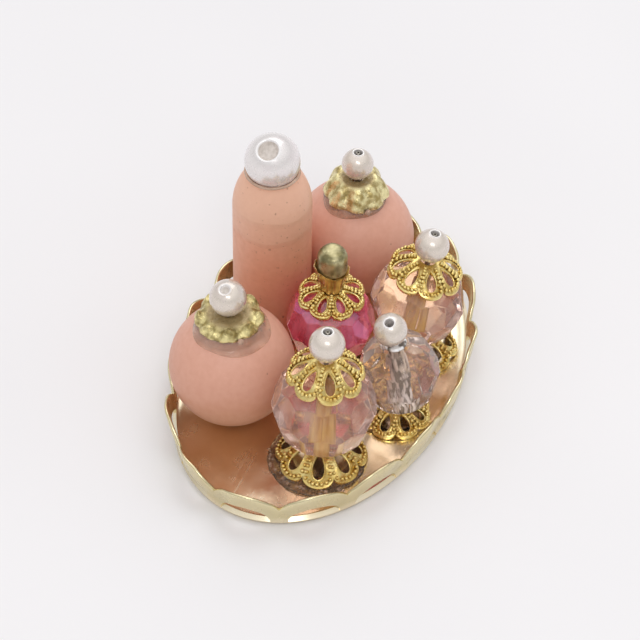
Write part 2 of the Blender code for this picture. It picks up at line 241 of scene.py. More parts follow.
def tray_gold():
    """Pale gilt plate with clouds of tarnish, fine rubbing and slight dents, its floor painted paler
    and its wall yellower and darker as painted light and shade.
    """
    finish = Finish("pale_gold_tray", Metallic=1.0)
    share = finish.rescale(finish.noise(5), 0.35, 0.7)
    lit_floor_tone = finish.mix(share, rgb(240, 224, 190), rgb(250, 240, 214))
    shaded_wall_tone = finish.mix(share, rgb(222, 208, 166), rgb(236, 226, 188))
    # Painted light and shade: the floor takes the paler, lit tone and the wall the yellower, darker,
    # shaded tone.
    up_wall = finish.rescale(finish.height(), 0.5 * MM, 0.9 * MM)
    finish.tint(up_wall, lit_floor_tone, shaded_wall_tone)
    rubbed = finish.noise(0.3, detail=1, stretch=(0.04, 1, 1), turn=(0, 0, 1.3))
    lines = finish.rescale(rubbed, 0.62, 0.8, 0.0, 0.08)
    finish.drive(Roughness=finish.math("ADD", finish.clouds(1.6, 0.16, 0.3), lines))
    finish.relief(6, 0.25, detail=1)
    finish.relief(0.9, 0.012, detail=2)
    return finish.material


def filigree_gold():
    """Yellow gilt, with painted shade darkening it to brown down between its grains."""
    finish = Finish("gold_filigree", Metallic=1.0)
    tone = finish.mix(finish.clouds(0.8), rgb(222, 188, 104), rgb(248, 230, 160))
    # Painted shade: occlusion darkens the gilt towards brown in the hollows between grains.
    unshaded_share = finish.rescale(finish.occlusion_shade(0.32), 0.2, 0.75)
    finish.tint(unshaded_share, rgb(138, 100, 42), tone)
    finish.roughen(0.4, 0.2, 0.34)
    finish.relief(0.7, 0.01, detail=1)
    return finish.material


def antique_brass(name, dish, dull, worn):
    """Greenish brass: a dull brown crown out to dish millimetres, then lobes from dull to worn, with
    painted shade darkening the hollows outside the crown.
    """
    finish = Finish(name)
    lobes = finish.mix(finish.clouds(0.6, spread=0.12, detail=4), dull, worn)
    outside = finish.rescale(finish.radius(), dish - 0.15, dish + 0.25)
    tone = finish.mix(outside, rgb(172, 150, 106), lobes)
    crown = finish.math("SUBTRACT", 1.0, outside)
    # Painted shade: occlusion darkens the hollows to dark brown, while the crown is kept mostly free of
    # it.
    unshaded_share = finish.rescale(finish.occlusion_shade(0.6), 0.35, 0.95)
    unshaded_share = finish.math("MAXIMUM", unshaded_share, finish.math("MULTIPLY", crown, 0.85))
    finish.tint(unshaded_share, rgb(84, 68, 34), tone)
    finish.drive(Metallic=finish.rescale(outside, 0, 1, 0.2, 0.62))
    finish.roughen(0.5, 0.22, 0.4)
    finish.relief(0.45, 0.08, detail=3)
    finish.relief(0.18, 0.035, detail=1)
    return finish.material


def finial_brass():
    """Grey-green gold, satin and a little hammered."""
    finish = Finish("finial_brass", Metallic=0.85)
    finish.tint(finish.clouds(0.9, spread=0.15), rgb(124, 116, 80), rgb(200, 190, 146))
    finish.roughen(0.5, 0.25, 0.4)
    finish.relief(0.3, 0.02)
    return finish.material


def specks(finish, share):
    """1 in ragged dots of three sizes. share is the part of the cells that hold a dot."""
    dots = None
    ragged = finish.math("MULTIPLY", finish.noise(0.14, detail=2), 0.3)
    for size in (0.9, 0.55, 0.32):
        inputs = {"Vector": finish.mapped(turn=(size, 0, size)), "Scale": 1 / (size * MM)}
        cells = finish.add("TexVoronoi", inputs)
        chosen = finish.add("SeparateColor", {"Color": cells.outputs["Color"]}).outputs[0]
        distance = finish.math("ADD", cells.outputs["Distance"], ragged)
        near = finish.rescale(distance, 0.2, 0.3, 1.0, 0.0)
        these = finish.math("MULTIPLY", near, finish.math("LESS_THAN", chosen, share))
        dots = finish.math("MAXIMUM", dots, these) if dots else these
    return dots


def peach_paint_with_painted_shade(name, upper, lower, speck_share, laps=()):
    """Satin peach paint over a turned wooden bead, with small pits and dark specks, and painted shade
    that darkens it from the upper tone at the top to the lower tone further down.

    Above each of the laps, a height in millimetres, one more coat makes it thicker and lighter.
    """
    finish = Finish(name, Specular_IOR_Level=0.35, Coat_Weight=0.08, Coat_Roughness=0.3)
    height = finish.math("ADD", finish.height(), finish.math("MULTIPLY", finish.noise(3), 1.2 * MM))
    # Painted shade: the tone darkens from the upper colour at the top to the lower colour further down,
    # where neighbours shade it.
    tone = finish.mix(finish.rescale(height, 0, 6 * MM), lower, upper)
    fine = finish.rescale(finish.noise(0.5, detail=4), 0.3, 0.75)
    tone = finish.mix(finish.math("MULTIPLY", fine, 0.2), tone, rgb(196, 126, 100))
    for lap in laps:
        above = finish.rescale(height, lap * MM, (lap + 0.5) * MM)
        tone = finish.mix(finish.math("MULTIPLY", above, 0.35), tone, rgb(236, 190, 162))
        finish.bump(above, 0.06)
    dots = specks(finish, speck_share)
    finish.tint(finish.math("MULTIPLY", dots, 0.46), tone, rgb(116, 76, 58))
    finish.drive(Roughness=finish.rescale(fine, 0, 1, 0.42, 0.56))
    finish.relief(0.45, 0.02, detail=2, stretch=(0.02, 0.02, 1))
    finish.relief(0.25, 0.004, detail=3)
    finish.bump(dots, -0.02)
    return finish.material


def pearl_lacquer_with_painted_shade(name, pale, deep, ring):
    """Imitation pearl: a glossy coat on a pearly ball, with painted shade deepening it towards its
    outline, paler within ring millimetres of its axis.
    """
    finish = Finish(name, Metallic=0.3, Coat_Weight=1.0, Coat_Roughness=0.05, Coat_IOR=1.8)
    # Painted shade: pale where the ball faces the camera, deep towards its outline.
    facing = finish.add("LayerWeight", {"Blend": 0.45}).outputs["Facing"]
    tone = finish.mix(facing, pale, deep)
    blush = finish.rescale(finish.noise(1.6), 0.45, 0.7, 0.0, 0.35)
    tone = finish.mix(blush, tone, rgb(234, 218, 222))
    near_hole = finish.rescale(finish.radius(), ring * 0.85, ring * 1.1, 0.8, 0.0)
    finish.tint(near_hole, tone, rgb(250, 247, 246))
    finish.roughen(0.6, 0.22, 0.34)
    finish.relief(0.9, 0.006, detail=1)
    return finish.material


def hole_paint():
    """The grey-beige inside of a pearl's hole."""
    finish = Finish("pearl_hole", Roughness=0.5)
    finish.tint(finish.clouds(0.3), rgb(194, 184, 174), rgb(226, 216, 208))
    finish.relief(0.2, 0.01)
    return finish.material


def cut_glass(name, pale, deep, shadow, clear=1.0, **values):
    """Polished glass whose tint drifts a little, with faint moulding waves and cloudy streaks.

    clear is the share of light that the streaks let through, and shadow tints what lamps cast.
    """
    finish = Finish(name, **values)
    finish.tint(finish.clouds(2.2, spread=0.15), pale, deep)
    streaks = finish.clouds(1.3, 0.96, clear, detail=2, stretch=(1, 1, 0.3))
    finish.drive(Transmission_Weight=streaks)
    finish.drive(Roughness=finish.rescale(finish.noise(0.8), 0.35, 0.7, 0.02, 0.1))
    finish.relief(1.6, 0.015, detail=1)
    finish.let_light_through(shadow)
    return finish.material


def bore_amber():
    """The golden-amber lining that glue and gilt give a clear bead's bore, streaked along it."""
    finish = Finish("bore_amber", Metallic=0.1, Roughness=0.35)
    streaks = finish.noise(0.45, detail=2, stretch=(1, 1, 0.08))
    finish.tint(finish.rescale(streaks, 0.35, 0.65), rgb(200, 156, 52), rgb(246, 222, 124))
    finish.bump(streaks, 0.03)
    return finish.material


def amber_glass():
    """Golden amber with darker streaks along it."""
    finish = Finish(
        "amber_glass", Metallic=0.25, Roughness=0.12, IOR=1.5, Transmission_Weight=0.35, Coat_Weight=0.6
    )
    streaks = finish.noise(0.5, detail=2, stretch=(1, 1, 0.08))
    finish.tint(finish.rescale(streaks, 0.38, 0.62), rgb(148, 98, 36), rgb(242, 190, 98))
    finish.bump(streaks, 0.04)
    return finish.material


def silver():
    """Bright silver with light and dark patches drawn out along the tube, painted reflections of
    crumpled foil.
    """
    finish = Finish("silver_liner", Metallic=0.3)
    streaks = finish.noise(0.4, detail=2, stretch=(1, 1, 0.3))
    # Painted reflections: streaks from dark grey to white stand in for the crumpled foil's glints and
    # dark reflections.
    finish.tint(finish.rescale(streaks, 0.42, 0.54), rgb(120, 112, 104), rgb(255, 255, 255))
    finish.roughen(0.4, 0.08, 0.22)
    finish.relief(0.5, 0.05, detail=2, stretch=(1, 1, 0.4))
    return finish.material


def pin_steel():
    """Dull grey wire."""
    finish = Finish("grey_pin", Metallic=1.0)
    finish.tint(finish.clouds(0.2), rgb(112, 106, 98), rgb(176, 170, 160))
    finish.roughen(0.15, 0.25, 0.45)
    finish.relief(0.1, 0.01)
    return finish.material


def clear_glue(name, pale, deep, roughness, clear=1.0):
    """Glue with a wavy glossy skin and a few tiny bubbles. clear is the share of light let through."""
    finish = Finish(name, Transmission_Weight=clear, IOR=1.4, Roughness=roughness)
    finish.tint(finish.clouds(1.2, spread=0.15), pale, deep)
    finish.relief(0.9, 0.05, detail=2)
    cells = finish.add("TexVoronoi", {"Vector": finish.place, "Scale": 1 / (0.4 * MM)})
    finish.bump(finish.rescale(cells.outputs["Distance"], 0.12, 0.3), 0.03)
    finish.let_light_through(pale)
    return finish.material


def floor_paper():
    """The studio's matt, nearly white floor."""
    finish = Finish("floor", Roughness=0.75, Specular_IOR_Level=0.2)
    finish.tint(finish.clouds(60, detail=2), rgb(238, 236, 237), rgb(243, 241, 242))
    return finish.material


TRAY_GOLD = tray_gold()
FILIGREE_GOLD = filigree_gold()
FRONT_BRASS = antique_brass("front_cap_brass", 1.7, rgb(150, 132, 78), rgb(244, 228, 164))
BACK_BRASS = antique_brass("back_cap_brass", 1.3, rgb(176, 156, 98), rgb(255, 244, 188))
FINIAL_BRASS = finial_brass()
PEACH = peach_paint_with_painted_shade("peach_bead", rgb(232, 178, 158), rgb(218, 160, 134), 0.015)
SPECKLED_PEACH = peach_paint_with_painted_shade(
    "peach_tube", rgb(240, 184, 156), rgb(230, 164, 132), 0.42, laps=(3.4, 5.4)
)
PEARL = pearl_lacquer_with_painted_shade("pearl", rgb(231, 219, 206), rgb(202, 188, 175), 0.5)
BIG_PEARL = pearl_lacquer_with_painted_shade("big_pearl", rgb(242, 236, 234), rgb(226, 220, 218), 1.05)
HOLE = hole_paint()
PINK_GLASS = cut_glass(
    "pale_pink_glass", rgb(238, 210, 198), rgb(227, 191, 179), rgb(250, 226, 222), 0.66, IOR=1.37
)
CRYSTAL = cut_glass(
    "crystal_glass", rgb(238, 220, 210), rgb(222, 200, 188), rgb(244, 240, 240), 0.78, IOR=1.33
)
ROSE_GLASS = cut_glass(
    "rose_glass", rgb(253, 144, 166), rgb(244, 108, 132), rgb(250, 150, 170), 0.25, IOR=1.4,
    Thin_Film_Thickness=480.0, Thin_Film_IOR=1.8, Coat_Weight=0.5, Coat_Roughness=0.04,
)
BORE_AMBER = bore_amber()
AMBER = amber_glass()
SILVER = silver()
STEEL = pin_steel()
GLUE = clear_glue("clear_glue", rgb(236, 230, 228), rgb(214, 206, 202), 0.08)
GREY_GLUE = clear_glue("grey_glue", rgb(240, 223, 208), rgb(224, 202, 186), 0.1, clear=0.8)
PUDDLE_GLUE = clear_glue("puddle_glue", rgb(222, 208, 192), rgb(188, 170, 150), 0.12, clear=0.94)
NECK_GLUE = clear_glue("neck_glue", rgb(240, 216, 196), rgb(220, 190, 166), 0.25, clear=0.4)


# Placing pieces


def centre_of(node):
    low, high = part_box(node)
    return (low + high) / 2


def ball_radius(node):
    """A round CAD node's radius, in millimetres."""
    low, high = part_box(node)
    return max(high - low) / 2 / MM


def axis_through(lower, upper):
    """A frame whose origin is one node's centre and whose Z points to another node's centre."""
    start = centre_of(lower)
    lean = centre_of(upper) - start
    turn = Vector((0, 0, 1)).rotation_difference(lean)
    return Matrix.Translation(start) @ turn.to_matrix().to_4x4()


def ground_under(node):
    """An upright frame on the ground, under a node's centre."""
    spot = centre_of(node)
    return Matrix.Translation((spot.x, spot.y, 0))


def extent(node, axis):
    """A CAD node's (lowest height, highest height, reach) in an axis's frame, in millimetres."""
    inward = axis.inverted()
    spots = [inward @ vertex.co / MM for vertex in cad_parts[node].data.vertices]
    heights = [spot.z for spot in spots]
    return min(heights), max(heights), max(spot.xy.length for spot in spots)


def tilted(degrees, direction):
    """Tips an axis by some degrees towards a direction, given in degrees round from +X."""
    way = radians(direction)
    return Matrix.Rotation(radians(degrees), 4, Vector((-sin(way), cos(way), 0)))


def new_object(name, data):
    thing = bpy.data.objects.new(name, data)
    bpy.context.scene.collection.objects.link(thing)
    return thing


def add_piece(node, shape, finishes, axis, height=0, tilt=(0, 0), flat=False):
    """Names a shape drawn in millimetres, places it on an axis and lets it stand for a CAD node."""
    bmesh.ops.scale(shape, vec=(MM, MM, MM), verts=shape.verts)
    bmesh.ops.recalc_face_normals(shape, faces=shape.faces)
    mesh = bpy.data.meshes.new(node + "_fine")
    shape.to_mesh(mesh)
    shape.free()
    for finish in finishes:
        mesh.materials.append(finish)
    if not flat:
        mesh.shade_smooth()
        mesh.set_sharp_from_angle(angle=SMOOTH_ANGLE)
    piece = new_object(node + "_fine", mesh)
    piece.matrix_world = axis @ Matrix.Translation((0, 0, height * MM)) @ tilted(*tilt)
    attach(piece, "root")
    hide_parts(node)


def add_drawn(node, draw, finish, axis):
    """Adds the piece that draw makes from its CAD node's extent on an axis."""
    add_piece(node, draw(*extent(node, axis)), [finish], axis)


# Mesh helpers


def polar(radius, degrees, height):
    angle = radians(degrees)
    return (radius * cos(angle), radius * sin(angle), height)


def arc(centre, radius, start, end, count):
    """Profile points on an arc. centre is (radius, height), and 0 degrees points outward."""
    angles = [radians(start + (end - start) * i / count) for i in range(count + 1)]
    return [(centre[0] + radius * cos(a), centre[1] + radius * sin(a)) for a in angles]


def bridge(shape, near, far):
    """The faces between two rings of corners. A ring may be one corner over and over."""
    faces = []
    for i in range(len(near)):
        j = (i + 1) % len(near)
        corners = dict.fromkeys((near[i], near[j], far[j], far[i]))
        if len(corners) > 2:
            faces.append(shape.faces.new(corners))
    return faces


def turned(profile, sides, bored=True, wobble=None):
    """(radius, height) points turned about Z. A bored profile is a loop that clears the axis.

    wobble, if given, takes (degrees, radius, height) and returns a changed (radius, height).
    """
    shape = bmesh.new()
    rings = []
    for radius, height in profile:
        if radius == 0:
            rings.append([shape.verts.new((0, 0, height))] * sides)
            continue
        ring = []
        for i in range(sides):
            degrees = 360 * i / sides
            spot = wobble(degrees, radius, height) if wobble else (radius, height)
            ring.append(shape.verts.new(polar(spot[0], degrees, spot[1])))
        rings.append(ring)
    if bored:
        rings.append(rings[0])
    for lower, upper in zip(rings, rings[1:]):
        bridge(shape, lower, upper)
    return shape


def sheet(outer, inner, missing=(), centres=None):
    """A closed skin between two grids of rows and wrapping columns, without the missing cells.

    centres, if given, are the outer and inner points that close the middle of the first row.
    """
    shape = bmesh.new()
    skins = [[[shape.verts.new(p) for p in row] for row in skin] for skin in (outer, inner)]
    rows, columns = len(outer) - 1, len(outer[0])

    def kept(row, column):
        return 0 <= row < rows and (row, column % columns) not in missing

    for row, column in product(range(rows), range(columns)):
        if not kept(row, column):
            continue
        corners = [(row, column), (row, column + 1), (row + 1, column + 1), (row + 1, column)]
        beside = [(row - 1, column), (row, column + 1), (row + 1, column), (row, column - 1)]
        upper, lower = ([skin[r][c % columns] for r, c in corners] for skin in skins)
        shape.faces.new(upper)
        shape.faces.new(lower[::-1])
        for i, neighbour in enumerate(beside):
            j = (i + 1) % 4
            closed_centre = centres and neighbour[0] < 0
            if not kept(*neighbour) and not closed_centre:
                shape.faces.new((upper[j], upper[i], lower[i], lower[j]))
    if centres:
        for skin, point, turn in zip(skins, centres, (1, -1)):
            middle = shape.verts.new(point)
            for column in range(columns):
                edge = (skin[0][(column + 1) % columns], skin[0][column], middle)
                shape.faces.new(edge[::turn])
    loose = [vertex for vertex in shape.verts if not vertex.link_faces]
    bmesh.ops.delete(shape, geom=loose, context="VERTS")
    return shape


def waver(degrees, height, size, seed):
    """Smooth noise, -1 to 1, that closes on itself round the axis."""
    return noise.noise(Vector(polar(size, degrees, height * size + seed)))


def eased(value, low, high):
    """0 below low, 1 above high and a smooth step between."""
    share = min(max((value - low) / (high - low), 0), 1)
    return share * share * (3 - 2 * share)


# Tray


def oval_points(half_length, half_width, count):
    """count (point, outward normal) pairs at equal steps along an oval, from +X."""
    dense = np.linspace(0, 2 * pi, 8001)
    line = np.stack([half_length * np.cos(dense), half_width * np.sin(dense)])
    run = np.concatenate([[0], np.cumsum(np.linalg.norm(np.diff(line), axis=0))])
    angles = np.interp(np.arange(count) / count * run[-1], run, dense)
    pairs = []
    for angle in angles:
        point = Vector((half_length * cos(angle), half_width * sin(angle)))
        normal = Vector((half_width * cos(angle), half_length * sin(angle)))
        pairs.append((point, normal.normalized()))
    return pairs


def tray_column(across, peak):
    """One column of the tray's section, across from -1 to 1 over its scallop.

    Rows of ((outer offset, outer height), (inner offset, inner height)) from the floor to the rim.
    """
    floor = TRAY_FLOOR
    notch = peak * SCALLOP_NOTCH
    rim = notch + (peak - notch) * (1 - abs(across) ** 2.2)
    window = max(1 - (across / WINDOW_SPAN) ** 2, 0)
    opening = WINDOW_END + (WINDOW_HEIGHT - WINDOW_END) * window**0.7
    lintel = min(WINDOW_SILL + opening, rim - RIM_BAND)

    def wall(height):
        rise = max(0, height - WINDOW_SILL) / (peak - WINDOW_SILL)
        bulge = BULGE * (1 - abs(across) ** 1.5) * eased(rise, -0.1, 0.5)
        return TRAY_FLARE * rise + bulge - BULGE * 0.6

    rows = [((offset, 0), (offset, floor + rise)) for offset, rise in FLOOR_DISH]
    dish_edge = floor + FLOOR_DISH[-1][1]
    for i in range(FOLD_ROWS):
        angle = radians(90) * i / (FOLD_ROWS - 1)
        outside = (FOLD_OUT * sin(angle) - FOLD_OUT, FOLD_UP - FOLD_UP * cos(angle))
        turn_in = (INNER_FOLD - TRAY_SHEET) * sin(angle) - INNER_FOLD
        rows.append((outside, (turn_in, dish_edge + 0.03 * (i + 1))))
    base = rows[-1][0][0] - wall(WINDOW_SILL)
    for i in range(WINDOW_CELLS + 1):
        height = WINDOW_SILL + (lintel - WINDOW_SILL) * i / WINDOW_CELLS
        offset = wall(height) + base * (1 - eased(height, WINDOW_SILL, WINDOW_SILL + 0.8))
        inner_height = max(height, dish_edge + 0.14 + 0.01 * i)
        rows.append(((offset, height), (offset - TRAY_SHEET, inner_height)))
    round_rim = TRAY_SHEET / 2
    for i in range(1, 5):
        height = lintel + (rim - round_rim - lintel) * i / 4
        rows.append(((wall(height), height), (wall(height) - TRAY_SHEET, height)))
    for angle in (35, 65, 82):
        turn = radians(angle)
        inset = round_rim * (1 - cos(turn))
        height = rim - round_rim + round_rim * sin(turn)
        offset = wall(rim - round_rim)
        rows.append(((offset - inset, height), (offset - TRAY_SHEET + inset, height)))
    return rows


def tray_shape():
    """Floor and flared wall as one sheet, with a half-moon window in each scallop."""
    low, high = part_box("tray")
    half_length = (high.x - low.x) / 2 / MM - TRAY_FLARE
    half_width = (high.y - low.y) / 2 / MM - TRAY_FLARE
    columns = SCALLOPS * SCALLOP_COLUMNS
    half = SCALLOP_COLUMNS // 2
    peak = high.z / MM
    first_window_row = len(FLOOR_DISH) + FOLD_ROWS
    outer, inner, missing = [], [], set()
    for column, (point, normal) in enumerate(oval_points(half_length, half_width, columns)):
        degrees = 360 * column / columns
        step = (column + half) % SCALLOP_COLUMNS - half
        for row, (out, inside) in enumerate(tray_column(step / half, peak)):
            if column == 0:
                outer.append([])
                inner.append([])
            up_wall = eased(out[1], TRAY_FLOOR, TRAY_FLOOR + 0.5)
            dent = WALL_DENT * up_wall * waver(degrees, out[1] / DENTS_ROUND, DENTS_ROUND, 17)
            outer[row].append((*(point + normal * (out[0] + dent)), out[1]))
            inner[row].append((*(point + normal * (inside[0] + dent)), inside[1]))
        middle = (step + 0.5) / half
        if abs(middle) < WINDOW_SPAN:
            missing.update((first_window_row + i, column) for i in range(WINDOW_CELLS))
    floor = inner[0][0][2]
    return sheet(outer, inner, missing, centres=((0, 0, 0), (0, 0, floor)))


def add_tray():
    add_piece("tray", tray_shape(), [TRAY_GOLD], ground_under("tray"))


# Bead caps


def scallop_share(across):
    """A petal edge's radius as a share of the cap's, across from -1 to 1 over the petal."""
    return 0.85 + 0.15 * math.sqrt(max(1 - across * across, 0))


def teardrop(angle):
    """Distance from a teardrop's middle to its outline, for a half length of 1. It points to 180."""
    turns = np.linspace(0, 2 * pi, 400)
    along = -np.cos(turns)
    side = 0.7 * np.sin(turns) * np.sin(turns / 2) ** 0.9
    # The curve's point is at turn 0, so the angles run on from there without a jump.
    angles = np.unwrap(np.arctan2(side, along))
    order = np.argsort(angles)
    reach = np.hypot(along, side)
    low = angles.min()
    wrapped = low + (angle - low) % (2 * pi)
    return float(np.interp(wrapped, angles[order], reach[order]))


def petal_edge():
    """Points of one petal's boundary as (share of radius, across), round from its left side."""
    low, arc_steps, side_steps, hub_steps = scallop_share(1), 14, 5, 4
    sweep = [-cos(pi * i / arc_steps) for i in range(arc_steps)]
    points = [(scallop_share(across), across) for across in sweep]
    points += [(low + (HUB - low) * i / side_steps, 1) for i in range(side_steps)]
    points += [(HUB, 1 - 2 * i / hub_steps) for i in range(hub_steps)]
    points += [(HUB + (low - HUB) * i / side_steps, -1) for i in range(side_steps)]
    return points


def filigree_cap(radius, rise, phase, seed):
    """A granulated bead cap of eight pierced petals. Its origin is the top face of its rim."""
    pitch = 360 / PETALS
    middle, half_length = 0.64 * radius, 0.228 * radius  # of a petal's opening

    def dome(x, y):
        share = math.hypot(x, y) / radius
        return rise * (1 - max(share - 0.25, 0) ** 1.6 / 0.75**1.6)

    def wire(distance):
        share = distance / WIRE_WIDTH
        return WIRE_LIFT * sin(pi * share) if share < 1 else 0

    shape = bmesh.new()
    edge = [polar(share * radius, across * pitch / 2, 0) for share, across in petal_edge()]
    loops = []
    for x, y, _ in edge:
        angle = math.atan2(y, x - middle)
        reach = half_length * teardrop(angle)
        start = Vector((middle + reach * cos(angle), reach * sin(angle)))
        run = Vector((x, y)) - start
        steps = [min(WIRE_WIDTH * i / 4, run.length * 0.75) for i in range(5)] + [run.length]
        loops.append([(start + run.normalized() * step, wire(step)) for step in steps])
    for petal in range(PETALS):
        turn = Matrix.Rotation(radians(phase + pitch * petal), 2)
        grid = []
        for loop in loops:
            spots = [(turn @ spot, lift) for spot, lift in loop]
            grid.append([shape.verts.new((s.x, s.y, dome(s.x, s.y) + lift)) for s, lift in spots])
        for i, near in enumerate(grid):
            far = grid[(i + 1) % len(grid)]
            for k in range(len(near) - 1):
                shape.faces.new((near[k], near[k + 1], far[k + 1], far[k]))
    hub_steps = PETALS * 4
    hub = []
    for share in (HUB, HUB - 0.06, CAP_HOLE / radius):
        spots = [polar(share * radius, phase + 360 * (i + 2) / hub_steps, 0) for i in range(hub_steps)]
        hub.append([shape.verts.new((x, y, dome(x, y))) for x, y, _ in spots])
    for near, far in zip(hub, hub[1:]):
        bridge(shape, near, far)
    bmesh.ops.remove_doubles(shape, verts=shape.verts, dist=0.004)
    grown = bmesh.ops.extrude_face_region(shape, geom=shape.faces[:], use_keep_orig=True)
    lowered = [item for item in grown["geom"] if isinstance(item, bmesh.types.BMVert)]
    bmesh.ops.translate(shape, vec=(0, 0, -LEAF), verts=lowered)
    add_grains(shape, radius, phase, dome, seed)
    return shape


def grain_ball():
    """The corners and faces of a small ball of radius 1, shared by every grain."""
    ball = bmesh.new()
    bmesh.ops.create_icosphere(ball, subdivisions=2, radius=1)
    corners = [vertex.co.copy() for vertex in ball.verts]
    faces = [[vertex.index for vertex in face.verts] for face in ball.faces]
    ball.free()
    return corners, faces


GRAIN_CORNERS, GRAIN_FACES = grain_ball()


def add_grains(shape, radius, phase, dome, seed):
    """Gold grains in strips between a cap's openings and along its scalloped edge."""
    chance = random.Random(seed)
    pitch = 360 / PETALS
    spots = []
    for petal in range(PETALS):
        axis = phase + pitch * petal
        for share in (0.35, 0.42, 0.5):
            spots.append((share * radius, axis + pitch / 2))
        for share, spread in ((0.59, 0.1), (0.69, 0.13), (0.79, 0.14)):
            turn = math.degrees(spread / (share * radius))
            spots += [(share * radius, axis + pitch / 2 + side * turn) for side in (-1, 1)]
        for i in range(7):
            across = -0.78 + 1.56 * i / 6
            spots.append((scallop_share(across) * radius - 0.2, axis + across * pitch / 2))
    for distance, degrees in spots:
        size = chance.uniform(0.145, 0.18)
        distance += chance.uniform(-0.03, 0.03)
        x, y, _ = polar(distance, degrees + chance.uniform(-0.6, 0.6), 0)
        spot = Vector((x, y, dome(x, y) + size * 0.45))
        corners = [shape.verts.new(spot + corner * size) for corner in GRAIN_CORNERS]
        for face in GRAIN_FACES:
            shape.faces.new([corners[i] for i in face])


def add_filigree(node, axis, phase):
    low, high, reach = extent(node, axis)
    cap = filigree_cap(reach, high - low - LEAF, phase, seed=node)
    add_piece(node, cap, [FILIGREE_GOLD], axis, low + LEAF)


def add_wavy_cap(node, axis, dish, lump, finish, seed):
    """An antique bead cap: a plain crown out to dish, then eight lobes that stand lump high."""
    low, high, reach = extent(node, axis)
    sheet_depth, swell = 0.2, 0.09
    lump_middle, lump_width = 0.62, 0.34  # as shares of the way down from the crown
    rise = high - low - sheet_depth
    edge = reach / (1 + swell) - 0.02
    rows, columns = 22, PETALS * 16
    outer, inner = ([[] for _ in range(rows + 1)] for _ in range(2))
    for column in range(columns):
        degrees = FRONT + 360 * column / columns
        drift = 0.7 * waver(degrees, 0, 1.0, seed)
        lobe = cos(radians(PETALS * (degrees - FRONT)) + drift)
        crown = dish - 0.35 * cos(radians(degrees - FRONT))
        size = lump * (1 + 0.5 * waver(degrees, 0, 2.5, seed + 3))
        for row in range(rows + 1):
            distance = CAP_HOLE + (edge - CAP_HOLE) * row / rows
            skirt = eased(distance, crown - 0.2, crown + 0.25)
            fall = max(distance - crown, 0) / (edge - crown)
            height = rise * (1 - fall**1.35)
            blob = math.exp(-(((fall - lump_middle) / lump_width) ** 2))
            height += skirt * (size * blob * (0.3 + 0.7 * max(lobe, -0.7)) - 0.04)
            height += 0.07 * waver(degrees, distance, 2.4, seed + 5)
            out = distance * (1 + swell * eased(lobe, -1.2, 0.5) * skirt)
            out += 0.12 * waver(degrees, distance, 2.2, seed + 9) * skirt
            outer[row].append(polar(out, degrees, height + sheet_depth))
            inner[row].append(polar(out, degrees, height))
    add_piece(node, sheet(outer, inner), [finish], axis, low)


# Beads and pearls


def add_pearl(node, axis, hole=PEARL_HOLE, tilt=(0, 0), blind=0.0, finish=PEARL, lip=0.07):
    """A pearl with a lipped hole. A blind hole is closed that far below its upper lip."""
    radius = ball_radius(node)
    spot = Matrix.Translation(centre_of(node)) @ axis.to_3x3().to_4x4()
    start = math.degrees(math.asin((hole + lip) / radius))
    ball = arc((0, 0), radius, -90 + start, 90 - start, 36)
    top = ball[-1][1]
    rounding = arc((hole + lip, top - lip * 0.4), lip, 60, 180, 5)
    if blind:
        floor = top - blind
        cup = [(hole * 0.96, floor + 0.1), (hole * 0.8, floor), (0, floor)]
        shape = turned([(0, ball[0][1]), *ball, *rounding, *cup], 56, bored=False)
    else:
        lower = [(r, -z) for r, z in reversed(rounding)]
        shape = turned([*lower, *ball, *rounding], 48)
    for face in shape.faces:
        centre = face.calc_center_median()
        if centre.xy.length < hole * 0.99 and abs(centre.z) < top - lip * 0.5:
            face.material_index = 1
    add_piece(node, shape, [finish, HOLE], spot, tilt=tilt)


def add_ball(node, axis, finish):
    radius = ball_radius(node)
    start = math.degrees(math.asin(BALL_BORE / radius))
    profile = arc((0, 0), radius, -90 + start, 90 - start, 64)
    add_piece(node, turned(profile, 96), [finish], axis)


def cut_away(shape, distance, normal):
    """Cuts the shape with a plane, keeps the side of the origin and closes the cut."""
    every = [*shape.verts, *shape.edges, *shape.faces]
    point = normal * distance
    bmesh.ops.bisect_plane(shape, geom=every, plane_co=point, plane_no=normal, clear_outer=True)
    rim = [edge for edge in shape.edges if edge.is_boundary]
    bmesh.ops.edgeloop_fill(shape, edges=rim)


def cut_bead(reach, half_height, bore):
    """A faceted bead with a through bore, centred on the origin: four staggered rows of facets."""
    shape = bmesh.new()
    bmesh.ops.create_cube(shape, size=2.4)
    for row, latitude in enumerate(FACET_LATITUDES):
        slope = radians(latitude)
        for i in range(FACETS):
            longitude = 360 * (i + 0.5 * (row % 2)) / FACETS
            facing = Vector(polar(cos(slope), longitude, sin(slope)))
            cut_away(shape, FACET_DEPTH, facing)
    for side in (-1, 1):
        cut_away(shape, BEAD_END, Vector((0, 0, side)))
    widest = max(vertex.co.xy.length for vertex in shape.verts)
    stretch = (reach / widest, reach / widest, half_height / BEAD_END)
    bmesh.ops.scale(shape, vec=stretch, verts=shape.verts)
    edges = shape.edges[:]
    bmesh.ops.bevel(shape, geom=edges, offset=0.05, segments=1, profile=0.5, affect="EDGES")
    open_bore(shape, bore)
    return shape


